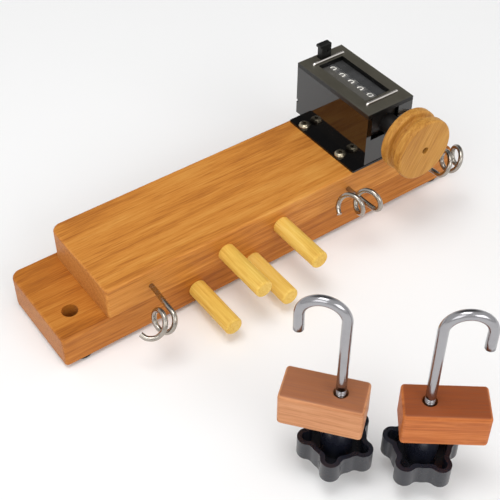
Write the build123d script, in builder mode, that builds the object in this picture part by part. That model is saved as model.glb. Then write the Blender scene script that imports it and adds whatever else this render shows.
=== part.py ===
from build123d import *
import os
from math import atan2, cos, degrees, pi, radians, sin

# Warping yardage counter: a wooden board with yarn guides, tension pegs and a
# wheel-driven mechanical counter, and the two hook clamps that hold it to a loom.
# Millimetres. X runs along the boards, the front edge faces -Y and Z is up. The origin
# is at the centre of the base board's underside.

os.makedirs("parts", exist_ok=True)

# ---- driving dimensions: boards ----
base_length = 262.0
board_width = 58.8
board_thickness = 19.05
ledge = 26.6                 # how far the base board runs past the top board at each end
front_corner = 2.0
back_corner = 6.0
board_edge = 1.3
clamp_hole_radius = 4.3
clamp_hole_y = -12.8

# ---- driving dimensions: pegs, guides and feet ----
peg_radius = 5.0
peg_reach = 34.3
peg_socket = 14.0
peg_pitch = 36.0
low_peg_x = -51.6
high_peg_x = -32.6
low_peg_z = board_thickness / 2
high_peg_z = 25.5
foot_radius = 6.0
foot_height = 2.0

# ---- driving dimensions: counter ----
counter_x = 76.1
counter_width = 31.8
counter_front_y = -29.6
counter_back_y = 32.0
counter_top_z = 73.8
plate_thickness = 1.2
flange_width = 8.1
wall = 1.2
bezel_thickness = 2.9
cover_thickness = 1.6

# ---- driving dimensions: drive train ----
axis_z = 61.5
shaft_radius = 2.0
running_gap = 0.05           # radial clearance of every shaft in its bore
yards_per_turn = 0.1
groove_radius = yards_per_turn * 914.4 / (2 * pi)
flange_radius = 17.9
rear_flange = 5.2
groove_width = 4.9
front_flange = 5.5
wheel_rear_y = -42.9

# ---- driving dimensions: number wheels ----
digit_wheels = 5
digit_pitch = 7.92
units_y = -11.2
drum_radius = 8.1
drum_width = 5.9
cam_width = 1.4

# ---- driving dimensions: hook clamps ----
rod_radius = 2.38
block_length = 38.1
block_section = 19.05
knob_radius = 18.0
hook_bend = 10.0             # centre-line radius of the bend
stub_length = 13.2           # threaded end below the knob

# ---- derived places ----
front_y = -board_width / 2
deck_z = 2 * board_thickness
case_z = deck_z + plate_thickness
bezel_z = counter_top_z - bezel_thickness
top_length = base_length - 2 * ledge
hole_x = base_length / 2 - ledge / 2
floor_z = -foot_height


def save(piece, name):
    """Label one finished piece and write it as its own STEP file."""
    piece.label = name
    export_step(piece, f"parts/{name}.step")


def along_y(x, z, y=0.0):
    """Sketch plane that faces +Y at (x, y, z), with its own x axis along -X."""
    return Plane(origin=(x, y, z), x_dir=(-1, 0, 0), z_dir=(0, 1, 0))


def rod_along_y(radius, y_start, y_end, x=counter_x, z=axis_z):
    """Plain round bar parallel to Y."""
    with BuildPart() as bar:
        with BuildSketch(along_y(x, z, y_start)):
            Circle(radius)
        extrude(amount=y_end - y_start)
    return bar.part


def tube_along_y(outer, inner, y_start, y_end, x=counter_x, z=axis_z):
    """Plain round tube parallel to Y."""
    with BuildPart() as tube:
        with BuildSketch(along_y(x, z, y_start)):
            Circle(outer)
            Circle(inner, mode=Mode.SUBTRACT)
        extrude(amount=y_end - y_start)
    return tube.part


# =====================================================================
# Boards
# =====================================================================
low_pegs = [(low_peg_x + i * peg_pitch, low_peg_z) for i in range(2)]
high_pegs = [(high_peg_x + i * peg_pitch, high_peg_z) for i in range(2)]

# Each yarn guide is one bent wire. Its coil starts at "start", "yaw" turns the coil about Z,
# "roll" turns it about the shank, "drift" is its advance per turn and "tail" its free end.
guide_wire = 1.4             # wire radius
guide_grip = 10.0            # length of shank held in the wood
guide_z = 28.0
guides = {
    "thread_guide_left": {
        "x": -79.0, "start": (-81.2, -51.3, 30.8), "radius": 6.1, "yaw": -4.6, "roll": 21.3,
        "turns": 1.33, "drift": (-5.2, 0.7, 0.15),
        "tail": [(-2.4, 0.8, -1.7), (-2.6, 1.5, -0.3), (-1.8, 2.2, 0.3), (-0.8, 2.0, 0.8)]},
    "thread_guide_middle": {
        "x": 49.8, "start": (50.5, -50.0, 28.3), "radius": 5.8, "yaw": -2.0, "roll": -168.0,
        "turns": 1.97, "drift": (-9.5, 3.3, -0.6), "tail": []},
    "thread_guide_right": {
        "x": 95.5, "start": (98.6, -48.8, 28.5), "radius": 6.2, "yaw": 14.0, "roll": 196.5,
        "turns": 2.02, "drift": (7.2, -1.1, 0.5), "tail": []},
}

screw_x = (-84.0, 0.0, 66.0)   # wood screws that pull the boards together from below
board_screw_radius = 2.0
board_screw_head = 4.0


def board(length, z, pegs, holes, rims):
    """One board with peg sockets, vertical holes (x, y, radius, depth) and rounded rims (0, -1)."""
    with BuildPart() as plank:
        with BuildSketch(Plane.XY.offset(z)) as outline:
            Rectangle(length, board_width)
            fillet(outline.vertices().group_by(Axis.Y)[0], front_corner)
            fillet(outline.vertices().group_by(Axis.Y)[-1], back_corner)
        extrude(amount=board_thickness)
        flats = plank.faces().filter_by(Axis.Z).sort_by(Axis.Z)
        fillet([e for rim in rims for e in flats[rim].outer_wire().edges()], board_edge)
        for x, y, radius, depth in holes:
            with BuildSketch(Plane.XY.offset(z)):
                with Locations((x, y)):
                    Circle(radius)
            extrude(amount=depth, mode=Mode.SUBTRACT)
        for x, peg_z in pegs:
            with BuildSketch(along_y(x, peg_z, front_y)):
                Circle(peg_radius)
            extrude(amount=peg_socket, mode=Mode.SUBTRACT)
    return plank


screw_head_depth = 4.0
base_holes = [(s * hole_x, clamp_hole_y, clamp_hole_radius, board_thickness) for s in (-1, 1)]
base_holes += [(x, 10.0, board_screw_head, screw_head_depth) for x in screw_x]
base_holes += [(x, 10.0, board_screw_radius, board_thickness) for x in screw_x]
screw_bite = 12.0
deck_screw_radius = 1.6
deck_screw_bite = 12.0
deck_screw_x = (counter_x - 20.1, counter_x + 20.1)
deck_screw_y = (-14.1, 18.4)
top_holes = [(x, 10.0, board_screw_radius, screw_bite) for x in screw_x]

# The base's long top edges stay square where the top board stands flush on them.
square_strip = 2.0
with BuildPart() as base_board:
    add(board(base_length, 0.0, low_pegs, base_holes, (0, -1)).part)
    with BuildSketch(Plane.XY.offset(board_thickness - board_edge)):
        with Locations((0, front_y + square_strip / 2), (0, -front_y - square_strip / 2)):
            Rectangle(top_length - 2 * back_corner, square_strip)
    extrude(amount=board_edge)
save(base_board.part, "base_board")

with BuildPart() as top_board:
    add(board(top_length, board_thickness, high_pegs, top_holes, (-1,)).part)
    with BuildSketch(Plane.XY.offset(deck_z)):
        for x in deck_screw_x:
            for y in deck_screw_y:
                with Locations((x, y)):
                    Circle(deck_screw_radius)
    extrude(amount=-deck_screw_bite, mode=Mode.SUBTRACT)
    for guide in guides.values():
        with BuildSketch(along_y(guide["x"], guide_z, front_y)):
            Circle(guide_wire)
        extrude(amount=guide_grip, mode=Mode.SUBTRACT)
save(top_board.part, "top_board")

board_screw_list = []
for x in screw_x:
    with BuildPart() as board_screw:
        with BuildSketch(Plane.XY.offset(1.2)):
            with Locations((x, 10.0)):
                Circle(board_screw_head)
        extrude(amount=screw_head_depth - 1.2)
        with BuildSketch(Plane.XY.offset(screw_head_depth)):
            with Locations((x, 10.0)):
                Circle(board_screw_radius)
        extrude(amount=board_thickness + screw_bite - screw_head_depth)
    board_screw_list.append(board_screw.part)
save(Compound(children=board_screw_list), "board_screws")

feet = []
for x in (-119.0, 119.0):
    for y in (-22.4, 22.4):
        with BuildPart() as foot:
            with BuildSketch(Plane.XY.offset(floor_z)):
                with Locations((x, y)):
                    Circle(foot_radius)
            extrude(amount=foot_height)
            chamfer(foot.edges().sort_by(Axis.Z)[0], 0.5)
        feet.append(foot.part)
save(Compound(children=feet), "rubber_feet")

# =====================================================================
# Tension pegs
# =====================================================================
for number, (x, z) in enumerate([low_pegs[0], high_pegs[0], low_pegs[1], high_pegs[1]], 1):
    with BuildPart() as peg:
        with BuildSketch(along_y(x, z, front_y - peg_reach)):
            Circle(peg_radius)
        extrude(amount=peg_reach + peg_socket)
        fillet(peg.edges().sort_by(Axis.Y)[0], 1.2)
    save(peg.part, f"tension_peg_{number}")

# =====================================================================
# Yarn guides: one bent wire each, a shank and an open coil
# =====================================================================
steps_per_turn = 12


def coil_points(start, radius, yaw, roll, turns, drift, tail):
    """Points along the coil and its free end. The wire leaves the start along the outward way."""
    out = Vector(-sin(radians(yaw)), -cos(radians(yaw)), 0)
    side = Vector(cos(radians(yaw)), -sin(radians(yaw)), 0)
    to_start = side * sin(radians(roll)) + Vector(0, 0, cos(radians(roll)))
    centre = Vector(*start) - to_start * radius
    steps = round(turns * steps_per_turn)
    points = []
    for i in range(steps + 1):
        turn = turns * i / steps
        eased = turn - 0.125 if turn > 0.25 else 2 * turn * turn
        points.append(centre + to_start * (radius * cos(2 * pi * turn))
                      + out * (radius * sin(2 * pi * turn)) + Vector(*drift) * eased)
    for step in tail:
        points.append(points[-1] + Vector(*step))
    return points


def thread_guide(x, start, **coil):
    """Wire guide whose shank enters the top board's front face square on at x."""
    points = coil_points(start, **coil)
    entry = Vector(x, front_y, guide_z)
    held = Vector(x, front_y + guide_grip, guide_z)
    outside = Vector(x, front_y - 1.0, guide_z)
    middle = (outside + points[0]) * 0.5
    with BuildPart() as guide_part:
        with BuildLine() as route:
            Line(held, outside)
            Spline(outside, middle, *points, tangents=((0, -1, 0), points[-1] - points[-2]))
        with BuildSketch(Plane(origin=held, z_dir=entry - held)):
            Circle(guide_wire)
        sweep(path=route.wires()[0])
    return guide_part.part


for name, guide in guides.items():
    save(thread_guide(**guide), name)

# =====================================================================
# Counter: case and fixed parts
# =====================================================================
half_width = counter_width / 2
inner_half = half_width - wall
cover_front_y = counter_back_y - cover_thickness


def box(x0, x1, y0, y1, z0, z1):
    """Rectangular block between opposite corners, x measured from the counter's middle."""
    with BuildPart() as block:
        with BuildSketch(Plane.XY.offset(z0)):
            with Locations((counter_x + (x0 + x1) / 2, (y0 + y1) / 2)):
                Rectangle(x1 - x0, y1 - y0)
        extrude(amount=z1 - z0)
    return block.part


plate_half = half_width + flange_width
plate_back_y = 28.0
with BuildPart() as counter_base_plate:
    with BuildSketch(Plane.XY.offset(deck_z)):
        with Locations((counter_x, (counter_front_y - 0.3 + plate_back_y) / 2)):
            RectangleRounded(2 * plate_half, plate_back_y - counter_front_y + 0.3, 1.2)
        for x in deck_screw_x:
            for y in deck_screw_y:
                with Locations((x, y)):
                    Circle(deck_screw_radius + 0.3, mode=Mode.SUBTRACT)
    extrude(amount=plate_thickness)
save(counter_base_plate.part, "counter_base_plate")

head_radius = 3.5
head_height = 2.0
recess_width = 0.9
mounting_screws = []
for x in deck_screw_x:
    for y in deck_screw_y:
        with BuildPart() as deck_screw:
            with BuildSketch(Plane(origin=(x, y, 0), x_dir=(1, 0, 0), z_dir=(0, -1, 0))):
                with BuildLine():
                    Polyline((0, deck_z - deck_screw_bite + 2), (0, case_z + head_height),
                             (1.2, case_z + head_height))
                    ThreePointArc((1.2, case_z + head_height), (2.9, case_z + 1.5),
                                  (head_radius, case_z + 0.4))
                    Polyline((head_radius, case_z + 0.4), (head_radius, case_z),
                             (deck_screw_radius, case_z),
                             (deck_screw_radius, deck_z - deck_screw_bite + 4),
                             (0, deck_z - deck_screw_bite + 2))
                make_face()
            revolve(axis=Axis((x, y, 0), (0, 0, 1)))
            with BuildSketch(Plane.XY.offset(case_z + head_height)):
                with Locations((x, y)):
                    Rectangle(3.8, recess_width)
                    Rectangle(recess_width, 3.8)
            extrude(amount=-1.2, mode=Mode.SUBTRACT)
        mounting_screws.append(deck_screw.part)
save(Compound(children=mounting_screws), "mounting_screws")

# Sheet-metal case: two sides and a front, open to the bezel, the plate and the rear cover.
cut_left, cut_right, cut_bottom = -12.8, 5.9, 55.7
tab = 4.6
tab_rows = (41.0, 64.5)
cover_screw_radius = 1.1
with BuildPart() as counter_case:
    add(box(-half_width, half_width, counter_front_y, cover_front_y, case_z, bezel_z))
    add(box(-inner_half, inner_half, counter_front_y + wall, cover_front_y, case_z, bezel_z),
        mode=Mode.SUBTRACT)
    add(box(cut_left, cut_right, counter_front_y, counter_front_y + wall, cut_bottom, bezel_z),
        mode=Mode.SUBTRACT)
    for z in tab_rows:
        add(box(-inner_half, tab - inner_half, cover_front_y - wall, cover_front_y, z, z + tab))
        add(box(inner_half - tab, inner_half, cover_front_y - wall, cover_front_y, z, z + tab))
        for side in (-1, 1):
            with BuildSketch(along_y(counter_x + side * (inner_half - tab / 2), z + tab / 2,
                                     cover_front_y)):
                Circle(cover_screw_radius)
            extrude(amount=-wall, mode=Mode.SUBTRACT)
save(counter_case.part, "counter_case")

with BuildPart() as rear_cover:
    add(box(-half_width, half_width, cover_front_y, counter_back_y, case_z, bezel_z))
    add(box(-half_width, 0.8 - half_width, cover_front_y, counter_back_y, 47.0, 48.6),
        mode=Mode.SUBTRACT)
    for z in tab_rows:
        for side in (-1, 1):
            with BuildSketch(along_y(counter_x + side * (inner_half - tab / 2), z + tab / 2,
                                     cover_front_y)):
                Circle(cover_screw_radius)
            extrude(amount=cover_thickness, mode=Mode.SUBTRACT)
save(rear_cover.part, "rear_cover")

cover_screws = []
for z in tab_rows:
    for side in (-1, 1):
        place = along_y(counter_x + side * (inner_half - tab / 2), z + tab / 2, counter_back_y)
        with BuildPart() as cover_screw:
            with BuildSketch(place):
                Circle(2.0)
            extrude(amount=1.3)
            fillet(cover_screw.edges().sort_by(Axis.Y)[-1], 0.6)
            with BuildSketch(place.offset(1.3)):
                Rectangle(3.0, 0.6)
            extrude(amount=-0.7, mode=Mode.SUBTRACT)
            with BuildSketch(place):
                Circle(cover_screw_radius)
            extrude(amount=-(cover_thickness + wall))
        cover_screws.append(cover_screw.part)
save(Compound(children=cover_screws), "rear_cover_screws")

# Bezel: the moulded top, with the window opening and the slot of the reset key.
window_half = 8.6
window_front_y, window_back_y = -18.6, 22.4
key_left, key_right = -3.5, 3.1
key_front_y, key_back_y = 26.0, 30.0
key_gap = 0.4
wire_radius = 0.8
wire_half = 10.6
wire_rows = (-22.0, 24.15)
with BuildPart() as counter_bezel:
    add(box(-half_width, half_width, counter_front_y, counter_back_y, bezel_z, counter_top_z))
    chamfer(counter_bezel.edges().group_by(Axis.Z)[-1], 0.35)
    add(box(-window_half, window_half, window_front_y, window_back_y, bezel_z, counter_top_z),
        mode=Mode.SUBTRACT)
    add(box(key_left - key_gap, key_right + key_gap, key_front_y - key_gap, key_back_y + key_gap,
            bezel_z, counter_top_z), mode=Mode.SUBTRACT)
    with BuildSketch(Plane.XY.offset(counter_top_z)):
        for y in wire_rows:
            with Locations((counter_x - wire_half, y), (counter_x + wire_half, y)):
                Circle(wire_radius)
    extrude(amount=-bezel_thickness, mode=Mode.SUBTRACT)
save(counter_bezel.part, "counter_bezel")

wires = []
for y in wire_rows:
    with BuildPart() as staple:
        with BuildLine(Plane(origin=(counter_x, y, counter_top_z), x_dir=(1, 0, 0),
                             z_dir=(0, -1, 0))) as staple_line:
            FilletPolyline((-wire_half, -bezel_thickness), (-wire_half, wire_radius),
                           (wire_half, wire_radius), (wire_half, -bezel_thickness), radius=0.85)
        with BuildSketch(Plane.XY.offset(bezel_z)):
            with Locations((counter_x - wire_half, y)):
                Circle(wire_radius)
        sweep(path=staple_line.wires()[0])
    wires.append(staple.part)
save(Compound(children=wires), "window_wires")

pane_thickness = 0.8
pane_half = window_half + 1.0
pane_z = bezel_z - pane_thickness
window_pane = box(-pane_half, pane_half, window_front_y - 1, window_back_y + 1, pane_z, bezel_z)
save(window_pane, "window_pane")

# Thin mask under the window. Its slot shows one row of figures.
mask_sheet = 0.3
slot_left, slot_right = -1.0, 3.2
plate_z = pane_z - mask_sheet
with BuildPart() as display_plate:
    add(box(-pane_half, pane_half, window_front_y - 1, 25.0, plate_z, pane_z))
    add(box(slot_left, slot_right, -16.0, 23.8, plate_z, pane_z), mode=Mode.SUBTRACT)
save(display_plate.part, "display_plate")

# Inner frame: two bearing plates on a floor strip, with a shelf for the key's spring.
frame_half = 13.5
frame_top_z = 68.6
frame_front_y, frame_back_y = -18.6, 25.2
frame_sheet = 1.2
frame_rear_sheet = 1.0
bar_x, bar_z, bar_radius = 9.6, axis_z - 9.0, 1.5
pinion_x, pinion_z, pinion_pin = -9.2, axis_z - 6.4, 1.0
spring_x, spring_y = -6.2, 28.0
shelf_z = 45.0
with BuildPart() as inner_frame:
    add(box(-frame_half, frame_half, frame_front_y, frame_back_y, case_z, case_z + frame_sheet))
    add(box(-frame_half, frame_half, frame_front_y, frame_front_y + frame_sheet,
            case_z, frame_top_z))
    add(box(-frame_half, frame_half, frame_back_y - frame_rear_sheet, frame_back_y,
            case_z, frame_top_z))
    add(box(-9.2, -3.2, frame_back_y, cover_front_y - 0.4, shelf_z - 1.0, shelf_z))
    for x, z, radius in ((0, axis_z, shaft_radius + running_gap),
                         (bar_x, bar_z, bar_radius + running_gap),
                         (pinion_x, pinion_z, pinion_pin)):
        with BuildSketch(along_y(counter_x + x, z, frame_front_y)):
            Circle(radius)
        extrude(amount=frame_back_y - frame_front_y, mode=Mode.SUBTRACT)
save(inner_frame.part, "inner_frame")

# Bearing housing in the front opening, with its boss and bronze bush.
housing_front_y, housing_back_y = -27.4, frame_front_y
pocket_y = -21.0             # the retaining clip turns in a pocket behind this face
pocket_radius = 4.4
boss_front_y = -38.0
boss_radius = 5.5
bush_radius = 3.4
with BuildPart() as bearing_housing:
    add(box(cut_left + 0.4, cut_right - 0.2, housing_front_y, window_front_y - 1.4,
            cut_bottom + 0.4, bezel_z - 0.9))
    add(box(cut_left + 0.4, cut_right - 0.2, window_front_y - 1.4, housing_back_y,
            cut_bottom + 0.4, plate_z - 0.3))
    with BuildSketch(along_y(counter_x, axis_z, boss_front_y)):
        Circle(boss_radius)
    extrude(amount=housing_front_y - boss_front_y)
    chamfer(bearing_housing.faces().sort_by(Axis.Y)[0].edges(), 0.5)
    with BuildSketch(along_y(counter_x, axis_z, boss_front_y)):
        Circle(bush_radius)
    extrude(amount=pocket_y - boss_front_y, mode=Mode.SUBTRACT)
    with BuildSketch(along_y(counter_x, axis_z, pocket_y)):
        Circle(pocket_radius)
    extrude(amount=housing_back_y - pocket_y, mode=Mode.SUBTRACT)
save(bearing_housing.part, "bearing_housing")
save(tube_along_y(bush_radius, shaft_radius + running_gap, boss_front_y, pocket_y),
     "shaft_bush")

# =====================================================================
# Drive train: measuring wheel, shaft, disc, number wheels, transfer pinions
# =====================================================================
wheel_width = rear_flange + groove_width + front_flange
wheel_front_y = wheel_rear_y - wheel_width
shaft_recess = 2.4
shaft_front_y = wheel_front_y + shaft_recess
shaft_back_y = frame_back_y
with BuildPart() as drive_shaft:
    add(rod_along_y(shaft_radius, shaft_front_y, shaft_back_y))
    with BuildSketch(along_y(counter_x, axis_z, shaft_front_y)):
        Rectangle(0.9, 2 * shaft_radius + 1, rotation=30)
    extrude(amount=1.0, mode=Mode.SUBTRACT)
save(drive_shaft.part, "drive_shaft")

rim_round = 1.3
groove_slope = 0.5
with BuildPart() as measuring_wheel:
    with BuildSketch(Plane(origin=(counter_x, 0, axis_z), x_dir=(0, 1, 0), z_dir=(1, 0, 0))):
        with BuildLine():
            groove_front = wheel_front_y + front_flange
            groove_back = groove_front + groove_width
            FilletPolyline((wheel_rear_y, shaft_radius), (wheel_rear_y, flange_radius),
                           (groove_back, flange_radius),
                           (groove_back - groove_slope, groove_radius),
                           (groove_front + groove_slope, groove_radius),
                           (groove_front, flange_radius), (wheel_front_y, flange_radius),
                           (wheel_front_y, shaft_radius),
                           radius=[rim_round, rim_round, 0.8, 0.8, rim_round, rim_round])
            Line((wheel_front_y, shaft_radius), (wheel_rear_y, shaft_radius))
        make_face()
    revolve(axis=Axis((counter_x, 0, axis_z), (0, 1, 0)))
save(measuring_wheel.part, "measuring_wheel")

collar_front_y, collar_back_y = wheel_rear_y, boss_front_y - 0.5
collar_radius = 4.5
collar_mid_y = (collar_front_y + collar_back_y) / 2
set_screw_radius = 1.2
with BuildPart() as shaft_collar:
    add(tube_along_y(collar_radius, shaft_radius, collar_front_y, collar_back_y))
    with BuildSketch(Plane.XY.offset(axis_z + shaft_radius)):
        with Locations((counter_x, collar_mid_y)):
            Circle(set_screw_radius)
    extrude(amount=collar_radius, mode=Mode.SUBTRACT)
save(shaft_collar.part, "shaft_collar")

with BuildPart() as set_screw:
    with BuildSketch(Plane.XY.offset(axis_z + shaft_radius)):
        with Locations((counter_x, collar_mid_y)):
            Circle(set_screw_radius)
    extrude(amount=2.2)
    with BuildSketch(Plane.XY.offset(axis_z + shaft_radius + 2.2)):
        with Locations((counter_x, collar_mid_y)):
            RegularPolygon(0.6, 6)
    extrude(amount=-1.0, mode=Mode.SUBTRACT)
save(set_screw.part, "set_screw")

save(tube_along_y(3.6, shaft_radius, frame_front_y - 1.5, frame_front_y - 0.7),
     "retaining_clip")
with BuildPart() as drive_disc:
    add(tube_along_y(6.8, shaft_radius, -17.0, -16.2))
    with BuildSketch(along_y(counter_x, axis_z, -17.0)):
        with PolarLocations(4.6, 6):
            Circle(0.9)
    extrude(amount=0.8, mode=Mode.SUBTRACT)
save(drive_disc.part, "drive_disc")

rim_teeth = 20
tooth_depth = 0.9
tooth_band = 1.3
cam_radius, cam_offset = 3.7, 0.8


def number_wheel(y):
    """Numbered drum centred at y, with a toothed rim behind it and a zeroing cam in front."""
    with BuildPart() as wheel:
        add(rod_along_y(drum_radius, y - drum_width / 2, y + drum_width / 2))
        with BuildSketch(along_y(counter_x, axis_z, y + drum_width / 2)):
            with PolarLocations(drum_radius, rim_teeth):
                Rectangle(2 * tooth_depth, 1.3)
        extrude(amount=-tooth_band, mode=Mode.SUBTRACT)
        with BuildSketch(along_y(counter_x, axis_z, y - drum_width / 2)):
            with Locations((cam_offset, 0)):
                Circle(cam_radius)
        extrude(amount=-cam_width)
        with BuildSketch(along_y(counter_x, axis_z, y - drum_width / 2 - cam_width)):
            Circle(shaft_radius + running_gap)
        extrude(amount=drum_width + cam_width, mode=Mode.SUBTRACT)
    return wheel.part


for number in range(digit_wheels):
    save(number_wheel(units_y + number * digit_pitch), f"number_wheel_{number + 1}")

save(rod_along_y(pinion_pin, frame_front_y, frame_back_y, counter_x + pinion_x, pinion_z),
     "pinion_pin")
pinion_teeth = 8
pinion_radius = 2.6
pinion_length = 5.0
for number in range(digit_wheels - 1):
    gap_y = units_y + (number + 0.5) * digit_pitch
    with BuildPart() as transfer_pinion:
        with BuildSketch(along_y(counter_x + pinion_x, pinion_z, gap_y - pinion_length / 2)):
            Circle(pinion_radius)
            with PolarLocations(pinion_radius, pinion_teeth):
                Circle(0.55, mode=Mode.SUBTRACT)
            Circle(pinion_pin + running_gap, mode=Mode.SUBTRACT)
        extrude(amount=pinion_length)
    save(transfer_pinion.part, f"transfer_pinion_{number + 1}")

# =====================================================================
# Zero reset: key, spring and hammer bar
# =====================================================================
key_top_z = counter_top_z + 9.2
cap_height = 1.8
lug_z = 57.6
crank_half = 0.9
foot_gap = 0.4
foot_z = bar_z + crank_half + foot_gap
with BuildPart() as reset_key:
    add(box(key_left, key_right, key_front_y, key_back_y, lug_z, key_top_z))
    add(box(key_left - 1.2, key_right, key_front_y, key_back_y, key_top_z - cap_height,
            key_top_z))
    fillet(reset_key.edges().group_by(Axis.Z)[-1], 0.5)
    add(box(-8.4, key_left, key_front_y, key_back_y, lug_z, lug_z + 2.0))
    add(box(-2.2, -0.4, key_front_y, key_back_y, foot_z, lug_z))
    with BuildSketch(along_y(counter_x + 0.2, key_top_z - 4.4, key_front_y)):
        Circle(0.9)
    extrude(amount=0.5, mode=Mode.SUBTRACT)
save(reset_key.part, "reset_key")

spring_wire = 0.3
spring_radius = 1.6
spring_height = lug_z - shelf_z - 2 * spring_wire - 0.1
with BuildPart() as reset_spring:
    with BuildLine(Plane.XY.offset(shelf_z + spring_wire + 0.05)
                   .move(Location((counter_x + spring_x, spring_y, 0)))) as spring_line:
        Helix(spring_height / 6, spring_height, spring_radius)
    spring_start = spring_line.line @ 0
    with BuildSketch(Plane(origin=spring_start, z_dir=spring_line.line % 0)):
        Circle(spring_wire)
    sweep(path=spring_line.wires()[0], is_frenet=True)
save(reset_spring.part, "reset_spring")

# Each hammer stands off its cam at rest, and the bar's crank lies under the key's foot.
hammer_reach = 7.4
hammer_rest = 25.0
hammer_thickness = 0.7
to_axis = degrees(atan2(axis_z - bar_z, -bar_x))
crank_reach = 11.2
with BuildPart() as hammer_bar:
    add(rod_along_y(bar_radius, frame_front_y, key_back_y - 0.2, counter_x + bar_x, bar_z))
    for number in range(digit_wheels):
        y = units_y + number * digit_pitch - drum_width / 2 - cam_width / 2
        turn = radians(to_axis - hammer_rest)
        with BuildSketch(Plane(origin=(counter_x + bar_x, y - hammer_thickness / 2, bar_z),
                               x_dir=(cos(turn), 0, sin(turn)), z_dir=(0, 1, 0))):
            with Locations((hammer_reach / 2, 0)):
                SlotCenterToCenter(hammer_reach, 1.6)
        extrude(amount=hammer_thickness)
    with BuildSketch(Plane(origin=(counter_x + bar_x, key_front_y + 0.2, bar_z),
                           x_dir=(-1, 0, 0), z_dir=(0, 1, 0))):
        with Locations((crank_reach / 2, 0)):
            SlotCenterToCenter(crank_reach, 2 * crank_half)
    extrude(amount=key_back_y - key_front_y - 0.4)
save(hammer_bar.part, "hammer_bar")

# =====================================================================
# Hook clamps, standing in front of the boards
# =====================================================================
knob_height = 11.0
hub_radius = 7.4
hub_top = 34.7
washer_thickness = 1.0
joint_gap = 0.1
bend_centre = 99.6
tip_drop = 9.2
block_overhang = 26.2        # block past the rod on the hook's side
block_bore = 3.4
insert_radius = 4.0
insert_length = 13.0
block_base = hub_top + washer_thickness + 2 * joint_gap

clamps = {
    "left": {"x": -57.9, "y": -153.0, "turn": 129.0},
    "right": {"x": -29.8, "y": -178.6, "turn": -38.0},
}


def clamp_plane(x, y, turn, height=0.0):
    """Horizontal plane on the rod's axis, with its x axis towards the hook's tip."""
    a = radians(turn)
    return Plane(origin=(x, y, floor_z + height), x_dir=(cos(a), sin(a), 0), z_dir=(0, 0, 1))


def ring_up(place, outer, inner, height):
    """Ring of the given height standing on a plane."""
    with BuildPart() as ring:
        with BuildSketch(place):
            Circle(outer)
            Circle(inner, mode=Mode.SUBTRACT)
        extrude(amount=height)
    return ring.part


def j_hook(x, y, turn):
    """Round rod with a half-circle hook and a short straight tip."""
    a = radians(turn)
    upright = Plane(origin=(x, y, floor_z), x_dir=(cos(a), sin(a), 0), z_dir=(sin(a), -cos(a), 0))
    with BuildPart() as hook:
        with BuildLine(upright) as route:
            Line((0, 0), (0, bend_centre))
            ThreePointArc((0, bend_centre), (hook_bend, bend_centre + hook_bend),
                          (2 * hook_bend, bend_centre))
            Line((2 * hook_bend, bend_centre), (2 * hook_bend, bend_centre - tip_drop))
        with BuildSketch(clamp_plane(x, y, turn)):
            Circle(rod_radius)
        sweep(path=route.wires()[0])
        chamfer(hook.edges().filter_by(GeomType.CIRCLE).sort_by(Axis.Z)[0], 0.5)
    return hook.part


lobe_radius = 4.7
lobe_centre = knob_radius - lobe_radius
knob_wall = 2.1
knob_floor = 3.0


def lobed_outline(inset, place):
    """Five-lobed star in a plane, drawn smaller by inset, with one lobe facing away from the hook."""
    with BuildSketch(place) as star:
        Circle(lobe_centre - inset)
        with PolarLocations(lobe_centre, 5, start_angle=90):
            Circle(lobe_radius - inset)
        fillet(star.vertices(), 3.4)
    return star.sketch


def star_knob(x, y, turn):
    """Hollow five-lobed knob with a tall hub; its open side faces up."""
    base = stub_length
    with BuildPart() as knob:
        add(lobed_outline(0, clamp_plane(x, y, turn, base)))
        extrude(amount=knob_height)
        add(lobed_outline(knob_wall, clamp_plane(x, y, turn, base + knob_floor)))
        extrude(amount=knob_height - knob_floor, mode=Mode.SUBTRACT)
        with BuildSketch(clamp_plane(x, y, turn, base + knob_floor)):
            Circle(hub_radius)
        extrude(amount=hub_top - base - knob_floor)
        with BuildSketch(clamp_plane(x, y, turn, base)):
            Circle(rod_radius + 0.4)
        extrude(amount=hub_top - base, mode=Mode.SUBTRACT)
        with BuildSketch(clamp_plane(x, y, turn, base)):
            Circle(insert_radius)
        extrude(amount=insert_length, mode=Mode.SUBTRACT)
    return knob.part


def clamp_block(x, y, turn):
    """Wooden block that bears on the board, bored off centre for the rod."""
    with BuildPart() as block:
        with BuildSketch(clamp_plane(x, y, turn, block_base)):
            with Locations((block_overhang - block_length / 2, 0)):
                Rectangle(block_length, block_section)
        extrude(amount=block_section)
        fillet(block.edges(), 1.8)
        with BuildSketch(clamp_plane(x, y, turn, block_base)):
            Circle(block_bore)
        extrude(amount=block_section, mode=Mode.SUBTRACT)
    return block.part


for side, place in clamps.items():
    save(j_hook(**place), f"{side}_j_hook")
    save(star_knob(**place), f"{side}_star_knob")
    save(ring_up(clamp_plane(**place, height=stub_length), insert_radius,
                 rod_radius + running_gap, insert_length), f"{side}_knob_insert")
    save(ring_up(clamp_plane(**place, height=hub_top + joint_gap), hub_radius,
                 rod_radius + 0.2, washer_thickness), f"{side}_clamp_washer")
    save(clamp_block(**place), f"{side}_clamp_block")
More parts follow.
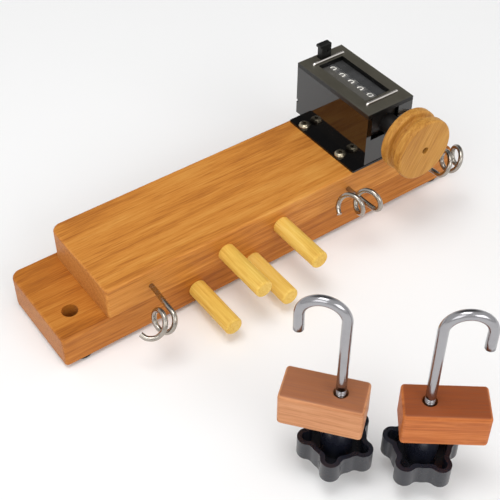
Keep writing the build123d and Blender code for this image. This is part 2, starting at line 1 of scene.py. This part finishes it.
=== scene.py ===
import math
import bmesh
import bpy
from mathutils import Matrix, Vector


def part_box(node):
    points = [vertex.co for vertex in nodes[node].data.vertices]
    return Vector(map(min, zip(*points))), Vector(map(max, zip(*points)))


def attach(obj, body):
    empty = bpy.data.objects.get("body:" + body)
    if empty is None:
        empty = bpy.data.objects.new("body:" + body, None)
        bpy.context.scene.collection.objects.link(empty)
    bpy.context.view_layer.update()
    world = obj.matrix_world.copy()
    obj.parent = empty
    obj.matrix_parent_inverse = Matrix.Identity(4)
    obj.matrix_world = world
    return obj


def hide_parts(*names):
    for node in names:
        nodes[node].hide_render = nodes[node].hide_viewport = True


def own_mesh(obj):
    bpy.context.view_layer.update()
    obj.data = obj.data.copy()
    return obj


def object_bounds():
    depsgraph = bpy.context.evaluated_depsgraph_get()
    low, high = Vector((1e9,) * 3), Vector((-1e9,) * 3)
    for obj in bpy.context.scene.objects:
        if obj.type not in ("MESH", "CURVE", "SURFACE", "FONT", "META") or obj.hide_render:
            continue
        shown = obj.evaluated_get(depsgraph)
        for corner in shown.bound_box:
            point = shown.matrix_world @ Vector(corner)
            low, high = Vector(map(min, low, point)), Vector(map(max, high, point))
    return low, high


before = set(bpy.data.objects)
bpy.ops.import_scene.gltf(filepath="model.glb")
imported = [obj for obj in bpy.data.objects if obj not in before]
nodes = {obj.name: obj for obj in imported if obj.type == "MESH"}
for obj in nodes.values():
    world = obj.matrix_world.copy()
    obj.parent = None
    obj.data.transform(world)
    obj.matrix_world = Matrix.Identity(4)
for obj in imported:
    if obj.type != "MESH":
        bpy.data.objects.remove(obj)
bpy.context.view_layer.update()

MM = 0.001


def lin(r, g, b):
    """Display colour (0 to 255) as a linear RGBA."""
    def one(c):
        c = c / 255.0
        return c / 12.92 if c <= 0.04045 else ((c + 0.055) / 1.055) ** 2.4
    return (one(r), one(g), one(b), 1.0)


# ---------------------------------------------------------------- node helpers
class Graph:
    """Short way to build a material's node tree."""

    def __init__(self, name):
        self.mat = bpy.data.materials.new(name)
        self.mat.use_nodes = True
        self.nt = self.mat.node_tree
        self.bsdf = self.nt.nodes["Principled BSDF"]

    def add(self, kind, **props):
        n = self.nt.nodes.new(kind)
        for k, v in props.items():
            setattr(n, k, v)
        return n

    def link(self, a, b):
        self.nt.links.new(a, b)

    def put(self, socket, value):
        if isinstance(value, bpy.types.NodeSocket):
            self.link(value, socket)
        else:
            socket.default_value = value

    def math(self, op, a, b=0.0):
        n = self.add("ShaderNodeMath", operation=op)
        self.put(n.inputs[0], a)
        self.put(n.inputs[1], b)
        return n.outputs[0]

    def coords(self, scale=(1, 1, 1)):
        tc = self.add("ShaderNodeTexCoord")
        m = self.add("ShaderNodeMapping")
        m.inputs["Scale"].default_value = scale
        self.link(tc.outputs["Object"], m.inputs["Vector"])
        return m.outputs[0]

    def noise(self, vector, detail, rough=0.55):
        """Noise whose size is set by the scale of its vector."""
        n = self.add("ShaderNodeTexNoise")
        self.link(vector, n.inputs["Vector"])
        n.inputs["Scale"].default_value = 1.0
        n.inputs["Detail"].default_value = detail
        n.inputs["Roughness"].default_value = rough
        return n.outputs["Fac"]

    def ramp(self, fac, stops):
        n = self.add("ShaderNodeValToRGB")
        self.put(n.inputs["Fac"], fac)
        el = n.color_ramp.elements
        while len(el) > 1:
            el.remove(el[-1])
        el[0].position, el[0].color = stops[0]
        for pos, col in stops[1:]:
            e = el.new(pos)
            e.color = col
        return n.outputs["Color"]

    def level(self, fac, a, b, lo=0.0, hi=1.0):
        n = self.add("ShaderNodeMapRange")
        self.put(n.inputs["Value"], fac)
        n.inputs["From Min"].default_value = a
        n.inputs["From Max"].default_value = b
        n.inputs["To Min"].default_value = lo
        n.inputs["To Max"].default_value = hi
        return n.outputs["Result"]

    def mix(self, fac, a, b):
        n = self.add("ShaderNodeMix", data_type="RGBA")
        self.put(n.inputs["Factor"], fac)
        self.put(n.inputs["A"], a)
        self.put(n.inputs["B"], b)
        return n.outputs["Result"]

    def facing(self, axis):
        """How far the surface faces along an object axis, from -1 to 1."""
        tc = self.add("ShaderNodeTexCoord")
        normal = self.add("ShaderNodeSeparateXYZ")
        self.link(tc.outputs["Normal"], normal.inputs[0])
        return normal.outputs[axis]

    def bump(self, height, distance, strength):
        n = self.add("ShaderNodeBump")
        self.put(n.inputs["Height"], height)
        n.inputs["Distance"].default_value = distance
        n.inputs["Strength"].default_value = strength
        self.link(n.outputs[0], self.bsdf.inputs["Normal"])


def grain_vector(g, turn, pith):
    """Object coordinates with x along the grain and the pith line moved to the origin."""
    tc = g.add("ShaderNodeTexCoord")
    m = g.add("ShaderNodeMapping", vector_type="TEXTURE")
    m.inputs["Location"].default_value = pith
    m.inputs["Rotation"].default_value = turn
    g.link(tc.outputs["Object"], m.inputs["Vector"])
    return m.outputs[0]


def scaled(g, vector, scale):
    m = g.add("ShaderNodeMapping")
    g.link(vector, m.inputs["Vector"])
    m.inputs["Scale"].default_value = scale
    return m.outputs[0]


def wood(name, light, mid, dark, *, pith, rings, ring_mix, warp, rough, turn=(0, 0, 0),
         flake=0.0, end=None, top=None):
    """Solid wood: growth rings about a pith line, long fibres, pores, and a satin finish.

    end is another colour, for the end grain on the faces across x. top is a painted shade: a darker
    colour laid on the upper face.
    """
    g = Graph(name)
    p = grain_vector(g, turn, pith)
    sep = g.add("ShaderNodeSeparateXYZ")
    g.link(p, sep.inputs[0])
    radial = g.math("SQRT", g.math("ADD", g.math("POWER", sep.outputs[1], 2.0),
                                   g.math("POWER", sep.outputs[2], 2.0)))
    sway = g.noise(scaled(g, p, (7, 30, 30)), 3.0)
    drift = g.noise(scaled(g, p, (2.2, 9, 9)), 2.0)
    r = g.math("ADD", radial, g.math("MULTIPLY", g.math("SUBTRACT", sway, 0.5), warp))
    r = g.math("ADD", r, g.math("MULTIPLY", g.math("SUBTRACT", drift, 0.5), warp * 3))
    phase = g.math("FRACT", g.math("MULTIPLY", r, rings))
    ring = g.math("MULTIPLY", g.level(phase, 0.0, 0.7), g.level(phase, 1.0, 0.7))
    fibre = g.noise(scaled(g, p, (60, 1300, 1300)), 4.0, 0.65)
    streak = g.noise(scaled(g, p, (26, 520, 520)), 5.0, 0.7)
    patch = g.noise(scaled(g, p, (9, 34, 34)), 3.0, 0.6)
    pore = g.noise(scaled(g, p, (60, 1500, 1500)), 2.0, 0.5)
    tone = g.math("ADD", g.math("MULTIPLY", ring, ring_mix),
                  g.math("MULTIPLY", g.level(streak, 0.3, 0.7), 0.45))
    tone = g.math("ADD", tone, g.math("MULTIPLY", g.level(fibre, 0.3, 0.7), 0.42))
    tone = g.math("ADD", tone, g.math("MULTIPLY", g.math("SUBTRACT", patch, 0.5), 1.1))
    colour = g.ramp(tone, [(0.05, light), (0.5, mid), (1.0, dark)])
    pores = g.level(pore, 0.64, 0.72)
    colour = g.mix(g.math("MULTIPLY", pores, 0.45), colour, dark)
    if flake:
        ray = g.noise(scaled(g, p, (160, 900, 260)), 1.0)
        colour = g.mix(g.math("MULTIPLY", g.level(ray, 0.62, 0.75), flake), colour, light)
    # end paints the end grain; top paints shade on the face that looks up.
    for face, axis, share in ((end, 0, 0.5), (top, 2, 0.9)):
        if face:
            way = g.facing(axis)
            facing = g.math("ABSOLUTE", way) if axis == 0 else way
            weight = g.math("MULTIPLY", g.level(facing, 0.75, 0.95), share)
            colour = g.mix(weight, colour, g.mix(g.level(fibre, 0.3, 0.7), face, dark))
    g.link(colour, g.bsdf.inputs["Base Color"])
    g.link(g.level(fibre, 0.2, 0.8, rough - 0.07, rough + 0.1), g.bsdf.inputs["Roughness"])
    g.bsdf.inputs["Specular IOR Level"].default_value = 0.25
    height = g.math("SUBTRACT", g.math("MULTIPLY", fibre, 0.5), g.math("MULTIPLY", pores, 0.6))
    g.bump(height, 0.00012, 0.35)
    return g.mat


def metal(name, colour, rough, scratch, wear, dull=None):
    """Metal with fine drawn scratches and slightly dulled patches."""
    g = Graph(name)
    dull = dull or tuple(c * 0.55 for c in colour[:3]) + (1.0,)
    s = g.noise(g.coords(scratch), 3.0, 0.6)
    cloud = g.noise(g.coords((140, 140, 140)), 4.0, 0.6)
    g.link(g.mix(g.math("MULTIPLY", g.level(cloud, 0.45, 0.75), wear), colour, dull),
           g.bsdf.inputs["Base Color"])
    g.bsdf.inputs["Metallic"].default_value = 1.0
    mixed = g.math("ADD", g.math("MULTIPLY", s, 0.5), g.math("MULTIPLY", cloud, 0.5))
    g.link(g.level(mixed, 0.3, 0.7, rough * 0.7, rough * 1.5), g.bsdf.inputs["Roughness"])
    g.bump(s, 0.00003, 0.25)
    return g.mat


def plastic(name, colour, rough, grain, depth, spec, vary, coat=0.0, worn=None, shaded_walls=None):
    """Moulded or painted surface with a fine texture, faint clouding and rubbed patches.

    An optional second colour paints shade on the faces that don't look up.
    """
    g = Graph(name)
    tex = g.noise(g.coords((grain, grain, grain)), 2.0, 0.5)
    cloud = g.noise(g.coords((60, 60, 60)), 4.0, 0.65)
    worn = worn or tuple(min(1.0, c * 1.9 + 0.012) for c in colour[:3]) + (1.0,)
    paint = g.mix(g.math("MULTIPLY", g.level(cloud, 0.4, 0.8), vary), colour, worn)
    # Painted shade: faces that don't look up take the darker colour.
    if shaded_walls:
        paint = g.mix(g.level(g.facing(2), 0.2, 0.9), shaded_walls, paint)
    g.link(paint, g.bsdf.inputs["Base Color"])
    g.link(g.level(cloud, 0.25, 0.75, rough * 0.8, rough * 1.3), g.bsdf.inputs["Roughness"])
    g.bsdf.inputs["Specular IOR Level"].default_value = spec
    g.bsdf.inputs["Coat Weight"].default_value = coat
    g.bump(tex, depth, 0.4)
    return g.mat


# ---------------------------------------------------------------- materials
board_wood = wood("board_wood", lin(217, 156, 76), lin(201, 130, 53), lin(156, 88, 30),
                  pith=(0.0, 0.055, -0.11), rings=210.0, ring_mix=0.2, warp=0.010, rough=0.46,
                  end=lin(204, 138, 84))
base_wood = wood("base_wood", lin(202, 135, 58), lin(184, 112, 39), lin(138, 73, 20),
                 pith=(0.0, -0.07, -0.09), rings=190.0, ring_mix=0.2, warp=0.010, rough=0.46,
                 end=lin(200, 134, 80))
peg_wood = wood("peg_wood", lin(240, 206, 118), lin(229, 187, 88), lin(206, 152, 58),
                turn=(0, 0, math.radians(90)), pith=(0.02, 0, 0.045), rings=420.0, ring_mix=0.08,
                warp=0.002, rough=0.5)
wheel_wood = wood("wheel_wood", lin(206, 156, 80), lin(188, 132, 56), lin(146, 88, 32),
                  turn=(0, math.radians(-62), 0), pith=(0.03, 0, 0.10), rings=240.0,
                  ring_mix=0.12, warp=0.006, rough=0.5)
# top here is painted shade: a darker colour on the block's upper face.
left_block_wood = wood("left_block_wood", lin(216, 158, 116), lin(200, 138, 94),
                       lin(162, 100, 62), turn=(0, 0, math.radians(129)),
                       pith=(-0.03, -0.10, 0.09), rings=300.0, ring_mix=0.15, warp=0.006, rough=0.5,
                       flake=0.2, top=lin(138, 88, 66))
# top here is painted shade: a darker colour on the block's upper face.
right_block_wood = wood("right_block_wood", lin(208, 130, 72), lin(190, 108, 52),
                        lin(148, 72, 30), turn=(0, 0, math.radians(-38)),
                        pith=(-0.03, -0.14, 0.08), rings=300.0, ring_mix=0.15, warp=0.006, rough=0.5,
                        flake=0.2, top=lin(124, 66, 42))
guide_metal = metal("guide_metal", lin(170, 163, 154), 0.22, (60, 900, 900), 0.18,
                    lin(130, 122, 112))
screw_metal = metal("screw_metal", lin(176, 166, 144), 0.24, (500, 500, 500), 0.45,
                    lin(128, 116, 92))
chrome_metal = metal("chrome_metal", lin(238, 232, 226), 0.14, (60, 900, 900), 0.2)
shaft_metal = metal("shaft_metal", lin(200, 198, 194), 0.25, (900, 60, 900), 0.4)
shaft_dark = metal("shaft_dark", lin(52, 42, 34), 0.45, (900, 60, 900), 0.5)
zinc_metal = metal("zinc_metal", lin(190, 190, 186), 0.35, (300, 300, 300), 0.5)
bronze_metal = metal("bronze_metal", lin(176, 132, 74), 0.4, (400, 400, 400), 0.6)
rod_metal = metal("rod_metal", lin(168, 167, 170), 0.17, (900, 900, 40), 0.2, lin(126, 124, 128))
case_black = plastic("case_black", lin(11, 8, 6), 0.06, 500.0, 0.00001, 0.5, 0.2, 0.45)
plate_black = plastic("plate_black", lin(3, 2, 2), 0.09, 500.0, 0.00001, 0.35, 0.15, 0.1)
# The bezel's second colour is painted shade: the window's inner walls and the bezel's sides are
# darkened.
bezel_black = plastic("bezel_black", lin(68, 65, 56), 0.36, 1500.0, 0.00005, 0.4, 0.3,
                      shaded_walls=lin(9, 8, 7))
housing_black = plastic("housing_black", lin(24, 22, 21), 0.42, 1500.0, 0.00004, 0.5, 0.3)
key_black = plastic("key_black", lin(11, 11, 9), 0.4, 1500.0, 0.00004, 0.4, 0.25)
drum_black = plastic("drum_black", lin(98, 95, 91), 0.5, 1500.0, 0.00003, 0.3, 0.3)
collar_black = plastic("collar_black", lin(36, 35, 36), 0.3, 900.0, 0.00003, 0.6, 0.3)
pinion_white = plastic("pinion_white", lin(226, 222, 212), 0.45, 1200.0, 0.00003, 0.4, 0.2,
                       worn=lin(196, 190, 176))
digit_white = plastic("digit_white", lin(250, 247, 238), 0.5, 2500.0, 0.00002, 0.4, 0.25,
                      worn=lin(214, 208, 196))
knob_black = plastic("knob_black", lin(20, 22, 32), 0.26, 1300.0, 0.00004, 0.55, 0.35, 0.1)
rubber_black = plastic("rubber_black", lin(24, 23, 22), 0.75, 1200.0, 0.00008, 0.3, 0.3)


def display_material():
    """Mask under the window: dark beyond the row of figures, lighter before it."""
    g = Graph("display_dark")
    lo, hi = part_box("display_plate")
    strip = (lo.x + hi.x) / 2 + 1.0 * MM
    sep = g.add("ShaderNodeSeparateXYZ")
    g.link(g.coords(), sep.inputs[0])
    edge = g.level(sep.outputs[0], strip - 0.2 * MM, strip + 0.2 * MM)
    speck = g.noise(g.coords((900, 900, 900)), 3.0)
    near = g.mix(g.math("MULTIPLY", speck, 0.5), lin(78, 74, 66), lin(64, 61, 54))
    far = g.mix(g.math("MULTIPLY", speck, 0.5), lin(34, 33, 32), lin(24, 23, 23))
    g.link(g.mix(edge, near, far), g.bsdf.inputs["Base Color"])
    g.link(g.level(speck, 0.3, 0.7, 0.4, 0.6), g.bsdf.inputs["Roughness"])
    g.bump(speck, 0.00002, 0.3)
    return g.mat


def pane_material():
    """Clear moulded window."""
    g = Graph("pane_clear")
    haze = g.noise(g.coords((200, 200, 200)), 4.0)
    g.bsdf.inputs["Base Color"].default_value = (0.9, 0.92, 0.95, 1)
    g.link(g.level(haze, 0.4, 0.7, 0.04, 0.1), g.bsdf.inputs["Roughness"])
    g.link(g.level(haze, 0.4, 0.8, 0.03, 0.06), g.bsdf.inputs["Alpha"])
    return g.mat


display_dark = display_material()
pane_clear = pane_material()

MATERIALS = {
    "base_board": base_wood, "top_board": board_wood, "board_screws": screw_metal,
    "rubber_feet": rubber_black, "counter_base_plate": plate_black,
    "mounting_screws": screw_metal, "counter_case": case_black, "rear_cover": case_black,
    "rear_cover_screws": screw_metal, "counter_bezel": bezel_black,
    "window_wires": chrome_metal, "window_pane": pane_clear, "display_plate": display_dark,
    "inner_frame": zinc_metal, "bearing_housing": housing_black, "shaft_bush": bronze_metal,
    "pinion_pin": shaft_metal, "reset_spring": shaft_metal, "measuring_wheel": wheel_wood,
    "drive_shaft": shaft_dark, "shaft_collar": collar_black, "set_screw": screw_metal,
    "retaining_clip": shaft_metal, "drive_disc": zinc_metal, "reset_key": key_black,
    "hammer_bar": zinc_metal,
    "left_clamp_block": left_block_wood, "right_clamp_block": right_block_wood,
}
for name in nodes:
    if name.startswith("tension_peg"):
        MATERIALS[name] = peg_wood
    elif name.startswith("thread_guide"):
        MATERIALS[name] = guide_metal
    elif name.startswith("number_wheel"):
        MATERIALS[name] = drum_black
    elif name.startswith("transfer_pinion"):
        MATERIALS[name] = pinion_white
    elif name.endswith("star_knob"):
        MATERIALS[name] = knob_black
    elif name.endswith("knob_insert"):
        MATERIALS[name] = bronze_metal
    elif name.endswith("clamp_washer"):
        MATERIALS[name] = screw_metal
    elif name.endswith("j_hook"):
        MATERIALS[name] = rod_metal

for name, obj in nodes.items():
    obj.data.materials.clear()
    obj.data.materials.append(MATERIALS[name])


def soften(name, width):
    """Small rounded edges, width in mm, on a carried-over node."""
    m = nodes[name].modifiers.new("soft_edges", "BEVEL")
    m.width = width * MM
    m.segments = 3
    m.limit_method = "ANGLE"
    m.angle_limit = math.radians(35)


for name, width in (("counter_case", 0.25), ("counter_base_plate", 0.3), ("rear_cover", 0.3),
                    ("left_star_knob", 0.7), ("right_star_knob", 0.7),
                    ("reset_key", 0.25), ("bearing_housing", 0.3)):
    soften(name, width)


# ---------------------------------------------------------------- mesh helpers
def tube_faces(rows, ring):
    """Side faces of a tube made of rows of ring vertices."""
    faces = []
    for i in range(rows - 1):
        for j in range(ring):
            k = (j + 1) % ring
            faces.append((i * ring + j, i * ring + k, (i + 1) * ring + k, (i + 1) * ring + j))
    return faces


def place(name, verts, faces, material):
    """New mesh object in the scene."""
    me = bpy.data.meshes.new(name)
    me.from_pydata([tuple(v) for v in verts], [], faces)
    me.update()
    me.materials.append(material)
    ob = bpy.data.objects.new(name, me)
    bpy.context.scene.collection.objects.link(ob)
    return ob


def smooth_sides(me):
    """Smooth shading on the four-sided faces. The end caps stay flat."""
    for p in me.polygons:
        p.use_smooth = len(p.vertices) == 4


# ---------------------------------------------------------------- figures on the number wheels
FIGURE_WIDTH, FIGURE_HEIGHT = 3.5 * MM, 4.4 * MM
NARROW_ONE = 0.45             # the 1 is narrower than the other figures
FIGURE_PROUD, FIGURE_SUNK = 0.10 * MM, 0.02 * MM
FIGURE_BACK = 3.15 * MM       # from a wheel's rear face to the middle of its figures
REST_ANGLE = 2.8              # degrees
UNITS_TURN = 5.0              # the units wheel rests a little further on
wheel_lo, wheel_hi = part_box("number_wheel_2")
axis_x = (wheel_lo.x + wheel_hi.x) / 2
axis_z = (wheel_lo.z + wheel_hi.z) / 2
drum_radius = (wheel_hi.x - wheel_lo.x) / 2


def glyph_mesh(text, width, height):
    """Flat triangulated figure, centred, as lists of vertices and faces."""
    cu = bpy.data.curves.new("glyph", "FONT")
    cu.body = text
    cu.size = 1.0
    cu.resolution_u = 6
    ob = bpy.data.objects.new("glyph", cu)
    bpy.context.scene.collection.objects.link(ob)
    bpy.context.view_layer.update()
    me = bpy.data.meshes.new_from_object(ob)
    verts = [v.co.copy() for v in me.vertices]
    faces = [tuple(p.vertices) for p in me.polygons]
    bpy.data.objects.remove(ob)
    bpy.data.curves.remove(cu)
    bpy.data.meshes.remove(me)
    x0, x1 = min(v.x for v in verts), max(v.x for v in verts)
    y0, y1 = min(v.y for v in verts), max(v.y for v in verts)
    wide = width if text != "1" else width * NARROW_ONE
    return [((v.x - (x0 + x1) / 2) / (x1 - x0) * wide,
             (v.y - (y0 + y1) / 2) / (y1 - y0) * height) for v in verts], faces


def digit_ring(wheel, first_angle):
    """Ten raised figures round one number wheel, standing 0.1 mm proud of the drum."""
    middle_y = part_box(wheel)[1].y - FIGURE_BACK
    verts, faces = [], []
    outer, inner = drum_radius + FIGURE_PROUD, drum_radius - FIGURE_SUNK
    for digit in range(10):
        flat, polys = glyph_mesh(str(digit), FIGURE_WIDTH, FIGURE_HEIGHT)
        base = len(verts)
        turn = first_angle - digit * math.radians(36)
        for u, v in flat:
            a = turn + v / drum_radius
            for rad in (outer, inner):
                verts.append((axis_x + rad * math.sin(a), middle_y - u,
                              axis_z + rad * math.cos(a)))
        edges = {}
        for p in polys:
            faces.append([base + 2 * i for i in p])
            for i in range(len(p)):
                e = (p[i], p[(i + 1) % len(p)])
                if (e[1], e[0]) in edges:
                    del edges[(e[1], e[0])]
                else:
                    edges[e] = True
            faces.append([base + 2 * i + 1 for i in reversed(p)])
        for a, b in edges:
            faces.append([base + 2 * b, base + 2 * a, base + 2 * a + 1, base + 2 * b + 1])
    ob = place(wheel + "_figures", verts, faces, digit_white)
    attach(ob, wheel)


for i in range(1, 6):
    digit_ring(f"number_wheel_{i}", math.radians(REST_ANGLE + (UNITS_TURN if i == 1 else 0.0)))

# ---------------------------------------------------------------- threaded hook rods
ROD = 2.38 * MM               # radius
ROD_SIDES = 28
TIP_DROP = 9.2 * MM           # straight length at the free end of the hook
THREAD_LENGTH = 58 * MM
THREAD_PITCH = 25.4 * MM / 24
THREAD_DEPTH = 0.38 * MM
THREAD_CREST, THREAD_FLANKS = 0.15, 0.75      # shares of one pitch
THREAD_STEPS = 6              # rows of vertices in one pitch
LEAD_IN, LEAD_IN_DEPTH = 0.6 * MM, 0.5 * MM   # tapered start of the thread
TIP_SCALE, TIP_ROUND = 0.86, 0.28 * MM        # rounded end of the hook
BEND_STEPS, STRAIGHT_STEPS = 32, 8


def hook_rod(side):
    """Bent rod with a cut thread on its lower length, over the CAD rod's own route."""
    lo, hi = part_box(f"{side}_j_hook")
    insert_lo, insert_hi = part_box(f"{side}_knob_insert")
    centre = (insert_lo + insert_hi) / 2
    across = Vector((lo.x + hi.x - 2 * centre.x, lo.y + hi.y - 2 * centre.y, 0))
    bend = across.length / 2
    across.normalize()
    up = Vector((0, 0, 1))
    side_way = across.cross(up)
    top = hi.z - ROD - bend
    tip = top - TIP_DROP
    thread_top = lo.z + THREAD_LENGTH
    rows = []                 # centre, two directions across the rod, height along the thread
    z = lo.z
    while z < thread_top:
        rows.append((Vector((centre.x, centre.y, z)), across, side_way, z))
        z += THREAD_PITCH / THREAD_STEPS
    for k in range(STRAIGHT_STEPS + 1):
        height = thread_top + (top - thread_top) * k / STRAIGHT_STEPS
        rows.append((Vector((centre.x, centre.y, height)), across, side_way, None))
    for k in range(1, BEND_STEPS + 1):
        a = math.pi * k / BEND_STEPS
        c = Vector((centre.x, centre.y, top)) + across * bend
        rows.append((c - across * bend * math.cos(a) + up * bend * math.sin(a),
                     across * math.cos(a) - up * math.sin(a), side_way, None))
    end = Vector((centre.x, centre.y, tip)) + across * 2 * bend
    for k in (0.5, 1.0):
        p = Vector((centre.x, centre.y, top + (tip - top) * k)) + across * 2 * bend
        rows.append((p, -across, side_way, None))
    verts = []
    for p, a_dir, b_dir, z in rows:
        for j in range(ROD_SIDES):
            t = 2 * math.pi * j / ROD_SIDES
            r = ROD
            if z is not None:
                phase = ((z - lo.z) / THREAD_PITCH - j / ROD_SIDES) % 1.0
                groove = abs(phase - 0.5) * 2.0
                cut = min(1.0, max(0.0, (groove - THREAD_CREST) / THREAD_FLANKS))
                r = ROD - THREAD_DEPTH * cut
                r -= LEAD_IN_DEPTH * max(0.0, 1.0 - (z - lo.z) / LEAD_IN)
            verts.append(p + a_dir * (r * math.cos(t)) + b_dir * (r * math.sin(t)))
    faces = tube_faces(len(rows), ROD_SIDES)
    faces.append(tuple(reversed(range(ROD_SIDES))))
    last = (len(rows) - 1) * ROD_SIDES
    rim = len(verts)          # first vertex of the smaller ring that rounds off the tip
    for j in range(ROD_SIDES):
        verts.append(end + (verts[last + j] - end) * TIP_SCALE - up * TIP_ROUND)
    for j in range(ROD_SIDES):
        k = (j + 1) % ROD_SIDES
        faces.append((last + j, last + k, rim + k, rim + j))
    faces.append(tuple(range(rim, rim + ROD_SIDES)))
    ob = place(f"{side}_hook_rod", verts, faces, rod_metal)
    bm = bmesh.new()
    bm.from_mesh(ob.data)
    bmesh.ops.recalc_face_normals(bm, faces=bm.faces)
    bm.to_mesh(ob.data)
    bm.free()
    smooth_sides(ob.data)
    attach(ob, f"{side}_hook")
    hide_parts(f"{side}_j_hook")


for side in ("left", "right"):
    hook_rod(side)

# ---------------------------------------------------------------- spring under the reset key
SPRING_TURNS = 6
SPRING_WIRE = 0.3 * MM        # radius
SPRING_SIDES = 10
SPRING_STEPS = 24             # rows of vertices in one turn


def key_spring():
    """The CAD spring again, as a piece of its own on the board."""
    lo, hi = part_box("reset_spring")
    centre = (lo + hi) / 2
    coil = (hi.x - lo.x) / 2 - SPRING_WIRE
    height = hi.z - lo.z - 2 * SPRING_WIRE
    rise = height / (2 * math.pi * SPRING_TURNS)
    steps = SPRING_STEPS * SPRING_TURNS
    verts = []
    for i in range(steps + 1):
        a = 2 * math.pi * SPRING_TURNS * i / steps
        out = Vector((math.cos(a), math.sin(a), 0))
        along = Vector((-math.sin(a) * coil, math.cos(a) * coil, rise)).normalized()
        mid = Vector((centre.x, centre.y, lo.z + SPRING_WIRE + rise * a)) + out * coil
        for j in range(SPRING_SIDES):
            t = 2 * math.pi * j / SPRING_SIDES
            verts.append(mid + (out * math.cos(t) + along.cross(out) * math.sin(t)) * SPRING_WIRE)
    faces = tube_faces(steps + 1, SPRING_SIDES)
    faces.append(tuple(reversed(range(SPRING_SIDES))))
    faces.append(tuple(range(steps * SPRING_SIDES, (steps + 1) * SPRING_SIDES)))
    ob = place("key_spring", verts, faces, shaft_metal)
    smooth_sides(ob.data)
    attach(ob, "board")
    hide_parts("reset_spring")
    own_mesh(ob)


key_spring()

# ---------------------------------------------------------------- stage, light, camera
FLOOR_SIZE = 14.0
CAMERA_PLACE = (-0.2552, -0.3606, 0.4127)
CAMERA_AIM = (-0.0066, -0.0145, 0.00034)
CAMERA_LENS, SENSOR_WIDTH = 76.03, 36.0
SKY_BRIGHT, SKY_DARK = 0.72, 0.10      # strength of the open sky and of its dark part
DARK_WAY = Vector((0.42, 0.58, 0.70)).normalized()    # dark part: up and behind the object
DARK_EDGE, DARK_CORE = 0.74, 0.93      # cosines of the angle from that direction

floor_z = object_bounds()[0][2]
bpy.ops.mesh.primitive_plane_add(size=FLOOR_SIZE, location=(0, 0, floor_z))
floor = bpy.context.object
floor.name = "floor"
g = Graph("floor_pale")
g.bsdf.inputs["Base Color"].default_value = (0.94, 0.94, 0.94, 1)
g.bsdf.inputs["Roughness"].default_value = 0.85
g.bsdf.inputs["Specular IOR Level"].default_value = 0.1
floor.data.materials.append(g.mat)

scene = bpy.context.scene
scene.view_settings.view_transform = "Standard"
world = bpy.data.worlds.new("studio")
scene.world = world
world.use_nodes = True
sky = world.node_tree
direction = sky.nodes.new("ShaderNodeTexCoord")
toward = sky.nodes.new("ShaderNodeVectorMath")
toward.operation = "DOT_PRODUCT"
toward.inputs[1].default_value = DARK_WAY
sky.links.new(direction.outputs["Generated"], toward.inputs[0])
fade = sky.nodes.new("ShaderNodeMapRange")
fade.inputs["From Min"].default_value = DARK_EDGE
fade.inputs["From Max"].default_value = DARK_CORE
fade.inputs["To Min"].default_value = SKY_BRIGHT
fade.inputs["To Max"].default_value = SKY_DARK
sky.links.new(toward.outputs["Value"], fade.inputs["Value"])
sky.links.new(fade.outputs["Result"], sky.nodes["Background"].inputs["Strength"])
sky.nodes["Background"].inputs["Color"].default_value = (1, 1, 1, 1)


def area(name, where, target, size, power):
    """Soft rectangular lamp that faces its target, with its power in watts."""
    li = bpy.data.lights.new(name, "AREA")
    li.shape = "RECTANGLE"
    li.size, li.size_y = size
    li.energy = power
    ob = bpy.data.objects.new(name, li)
    scene.collection.objects.link(ob)
    ob.location = where
    ob.rotation_euler = (Vector(target) - Vector(where)).to_track_quat("-Z", "Y").to_euler()


area("key", (-0.25, -0.1, 1.2), (0.0, 0.0, 0.03), (0.6, 0.5), 5.0)
area("fill", (-1.0, -0.5, 0.7), (0.0, -0.02, 0.03), (0.7, 0.7), 2.3)
area("front", (0.1, -1.25, 0.75), (0.03, 0.0, 0.03), (0.9, 0.6), 4.6)

cam_data = bpy.data.cameras.new("camera")
cam_data.lens = CAMERA_LENS
cam_data.sensor_width = SENSOR_WIDTH
cam_data.clip_start = 0.01
cam = bpy.data.objects.new("camera", cam_data)
scene.collection.objects.link(cam)
cam.location = CAMERA_PLACE
cam.rotation_euler = (Vector(CAMERA_AIM) - cam.location).to_track_quat("-Z", "Y").to_euler()
scene.camera = cam
